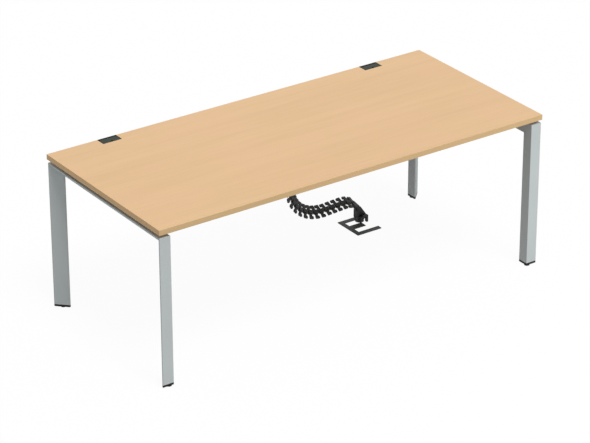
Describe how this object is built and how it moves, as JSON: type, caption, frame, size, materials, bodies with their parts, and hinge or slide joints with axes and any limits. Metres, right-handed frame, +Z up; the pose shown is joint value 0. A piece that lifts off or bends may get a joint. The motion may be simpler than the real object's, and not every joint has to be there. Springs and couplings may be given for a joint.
{
  "type": "office desk",
  "caption": "Rectangular office desk on two portal end frames of triangular tube, with flap cable ports in its back edge and a jointed cable spine to a floor plate.",
  "frame": {"origin": "on the floor, under the middle of the table top", "axes": "+X along the desk, +Y to the back edge with the cable ports, +Z up"},
  "size_m": [2, 0.9, 0.74],
  "materials": {
    "wood_board": "pale wood laminate",
    "wood_edge": "pale wood edging",
    "silver_paint": "silver grey powder coat",
    "black_paint": "black powder coat",
    "dark_plate_paint": "dark grey powder coat",
    "black_plastic": "black moulded plastic",
    "port_plastic": "dark grey moulded plastic",
    "port_dark_plastic": "black moulded plastic",
    "spine_plastic": "black moulded plastic",
    "steel": "zinc plated steel"
  },
  "bodies": {
    "desk": {"back_beam": "black_paint", "beam_bolts": "steel", "beam_bracket_back_left": "black_paint", "beam_bracket_back_right": "black_paint", "beam_bracket_front_left": "black_paint", "beam_bracket_front_right": "black_paint", "beam_nuts": "steel", "edge_band_back": "wood_edge", "edge_band_front": "wood_edge", "edge_band_left": "wood_edge", "edge_band_right": "wood_edge", "end_rail_left": "silver_paint", "end_rail_right": "silver_paint", "foot_inserts": "steel", "front_beam": "black_paint", "leg_back_left": "silver_paint", "leg_back_right": "silver_paint", "leg_cap_back_left": "black_plastic", "leg_cap_back_right": "black_plastic", "leg_cap_front_left": "black_plastic", "leg_cap_front_right": "black_plastic", "leg_front_left": "silver_paint", "leg_front_right": "silver_paint", "port_frame_left": "port_dark_plastic", "port_frame_right": "port_dark_plastic", "port_pin_left": "steel", "port_pin_right": "steel", "port_screws": "steel", "spine_bracket": "dark_plate_paint", "spine_bracket_screws": "steel", "table_top": "wood_board", "top_screws": "steel", "top_spacers": "black_plastic"},
    "foot_front_left": {"foot_pad_front_left": "black_plastic"},
    "stud_front_left": {"foot_stud_front_left": "steel"},
    "foot_back_left": {"foot_pad_back_left": "black_plastic"},
    "stud_back_left": {"foot_stud_back_left": "steel"},
    "foot_front_right": {"foot_pad_front_right": "black_plastic"},
    "stud_front_right": {"foot_stud_front_right": "steel"},
    "foot_back_right": {"foot_pad_back_right": "black_plastic"},
    "stud_back_right": {"foot_stud_back_right": "steel"},
    "port_flap_left": {"port_flap_left": "port_plastic"},
    "port_flap_right": {"port_flap_right": "port_plastic"},
    "spine_hanging": {"spine_hanging_links": "spine_plastic"},
    "spine_level": {"spine_flat_links": "spine_plastic"},
    "spine_elbow": {"spine_elbow": "spine_plastic"},
    "spine_floor": {"spine_foot": "spine_plastic", "spine_foot_screws": "steel", "spine_base_plate": "dark_plate_paint"},
    "spine_bend_upper": {"spine_bend_link_1": "spine_plastic", "spine_bend_link_2": "spine_plastic", "spine_bend_link_3": "spine_plastic", "spine_bend_link_4": "spine_plastic"},
    "spine_bend_lower": {"spine_bend_link_5": "spine_plastic", "spine_bend_link_6": "spine_plastic", "spine_bend_link_7": "spine_plastic"}
  },
  "joints": [
    {"name": "foot_front_left_height", "type": "slide", "parent": "desk", "child": "foot_front_left", "axis": [0, 0, -1], "range_m": [-0.00063, 0.015]},
    {"name": "foot_front_left_turn", "type": "hinge", "parent": "foot_front_left", "child": "stud_front_left", "pos_m": [-0.96002, -0.43048, 0.007], "axis": [0, 0, -1], "range_deg": [-181, 4321]},
    {"name": "foot_back_left_height", "type": "slide", "parent": "desk", "child": "foot_back_left", "axis": [0, 0, -1], "range_m": [-0.00063, 0.015]},
    {"name": "foot_back_left_turn", "type": "hinge", "parent": "foot_back_left", "child": "stud_back_left", "pos_m": [-0.96002, 0.43048, 0.007], "axis": [0, 0, -1], "range_deg": [-181, 4321]},
    {"name": "foot_front_right_height", "type": "slide", "parent": "desk", "child": "foot_front_right", "axis": [0, 0, -1], "range_m": [-0.00063, 0.015]},
    {"name": "foot_front_right_turn", "type": "hinge", "parent": "foot_front_right", "child": "stud_front_right", "pos_m": [0.96002, -0.43048, 0.007], "axis": [0, 0, -1], "range_deg": [-181, 4321]},
    {"name": "foot_back_right_height", "type": "slide", "parent": "desk", "child": "foot_back_right", "axis": [0, 0, -1], "range_m": [-0.00063, 0.015]},
    {"name": "foot_back_right_turn", "type": "hinge", "parent": "foot_back_right", "child": "stud_back_right", "pos_m": [0.96002, 0.43048, 0.007], "axis": [0, 0, -1], "range_deg": [-181, 4321]},
    {"name": "port_flap_left_hinge", "type": "hinge", "parent": "desk", "child": "port_flap_left", "pos_m": [-0.7, 0.43775, 0.73435], "axis": [-1, 0, 0], "range_deg": [0, 90]},
    {"name": "port_flap_right_hinge", "type": "hinge", "parent": "desk", "child": "port_flap_right", "pos_m": [0.7, 0.43775, 0.73435], "axis": [-1, 0, 0], "range_deg": [0, 90]},
    {"name": "spine_swing", "type": "hinge", "parent": "desk", "child": "spine_hanging", "pos_m": [0.10777, 0.367, 0.66998], "axis": [0, 1, 0], "range_deg": [-6, 6]},
    {"name": "spine_bend_start", "type": "hinge", "parent": "spine_hanging", "child": "spine_bend_upper", "pos_m": [0.22026, 0.367, 0.21879], "axis": [0, 1, 0], "range_deg": [-3.56, 3.56]},
    {"name": "spine_bend_middle", "type": "hinge", "parent": "spine_bend_upper", "child": "spine_bend_lower", "pos_m": [0.30317, 0.367, 0.13059], "axis": [0, 1, 0], "range_deg": [-3.56, 3.56]},
    {"name": "spine_bend_end", "type": "hinge", "parent": "spine_bend_lower", "child": "spine_level", "pos_m": [0.39366, 0.367, 0.11244], "axis": [0, 1, 0], "range_deg": [-3.56, 3.56]},
    {"name": "spine_elbow_joint", "type": "hinge", "parent": "spine_level", "child": "spine_elbow", "pos_m": [0.54781, 0.367, 0.11249], "axis": [0, 1, 0], "range_deg": [-2.28, 2.28]},
    {"name": "spine_foot_joint", "type": "hinge", "parent": "spine_elbow", "child": "spine_floor", "pos_m": [0.59381, 0.367, 0.06549], "axis": [0, 1, 0], "range_deg": [-2.28, 2.28]}
  ],
  "couplings": [
    {"joint": "foot_front_left_turn", "follows": "foot_front_left_height", "rad_per_m": 5026.5},
    {"joint": "foot_back_left_turn", "follows": "foot_back_left_height", "rad_per_m": 5026.5},
    {"joint": "foot_front_right_turn", "follows": "foot_front_right_height", "rad_per_m": 5026.5},
    {"joint": "foot_back_right_turn", "follows": "foot_back_right_height", "rad_per_m": 5026.5},
    {"joint": "spine_bend_start", "follows": "spine_swing", "ratio": -0.58219},
    {"joint": "spine_bend_middle", "follows": "spine_swing", "ratio": -0.58219},
    {"joint": "spine_bend_end", "follows": "spine_swing", "ratio": -0.58219},
    {"joint": "spine_elbow_joint", "follows": "spine_swing", "ratio": 0.37329},
    {"joint": "spine_foot_joint", "follows": "spine_swing", "ratio": 0.37329}
  ]
}
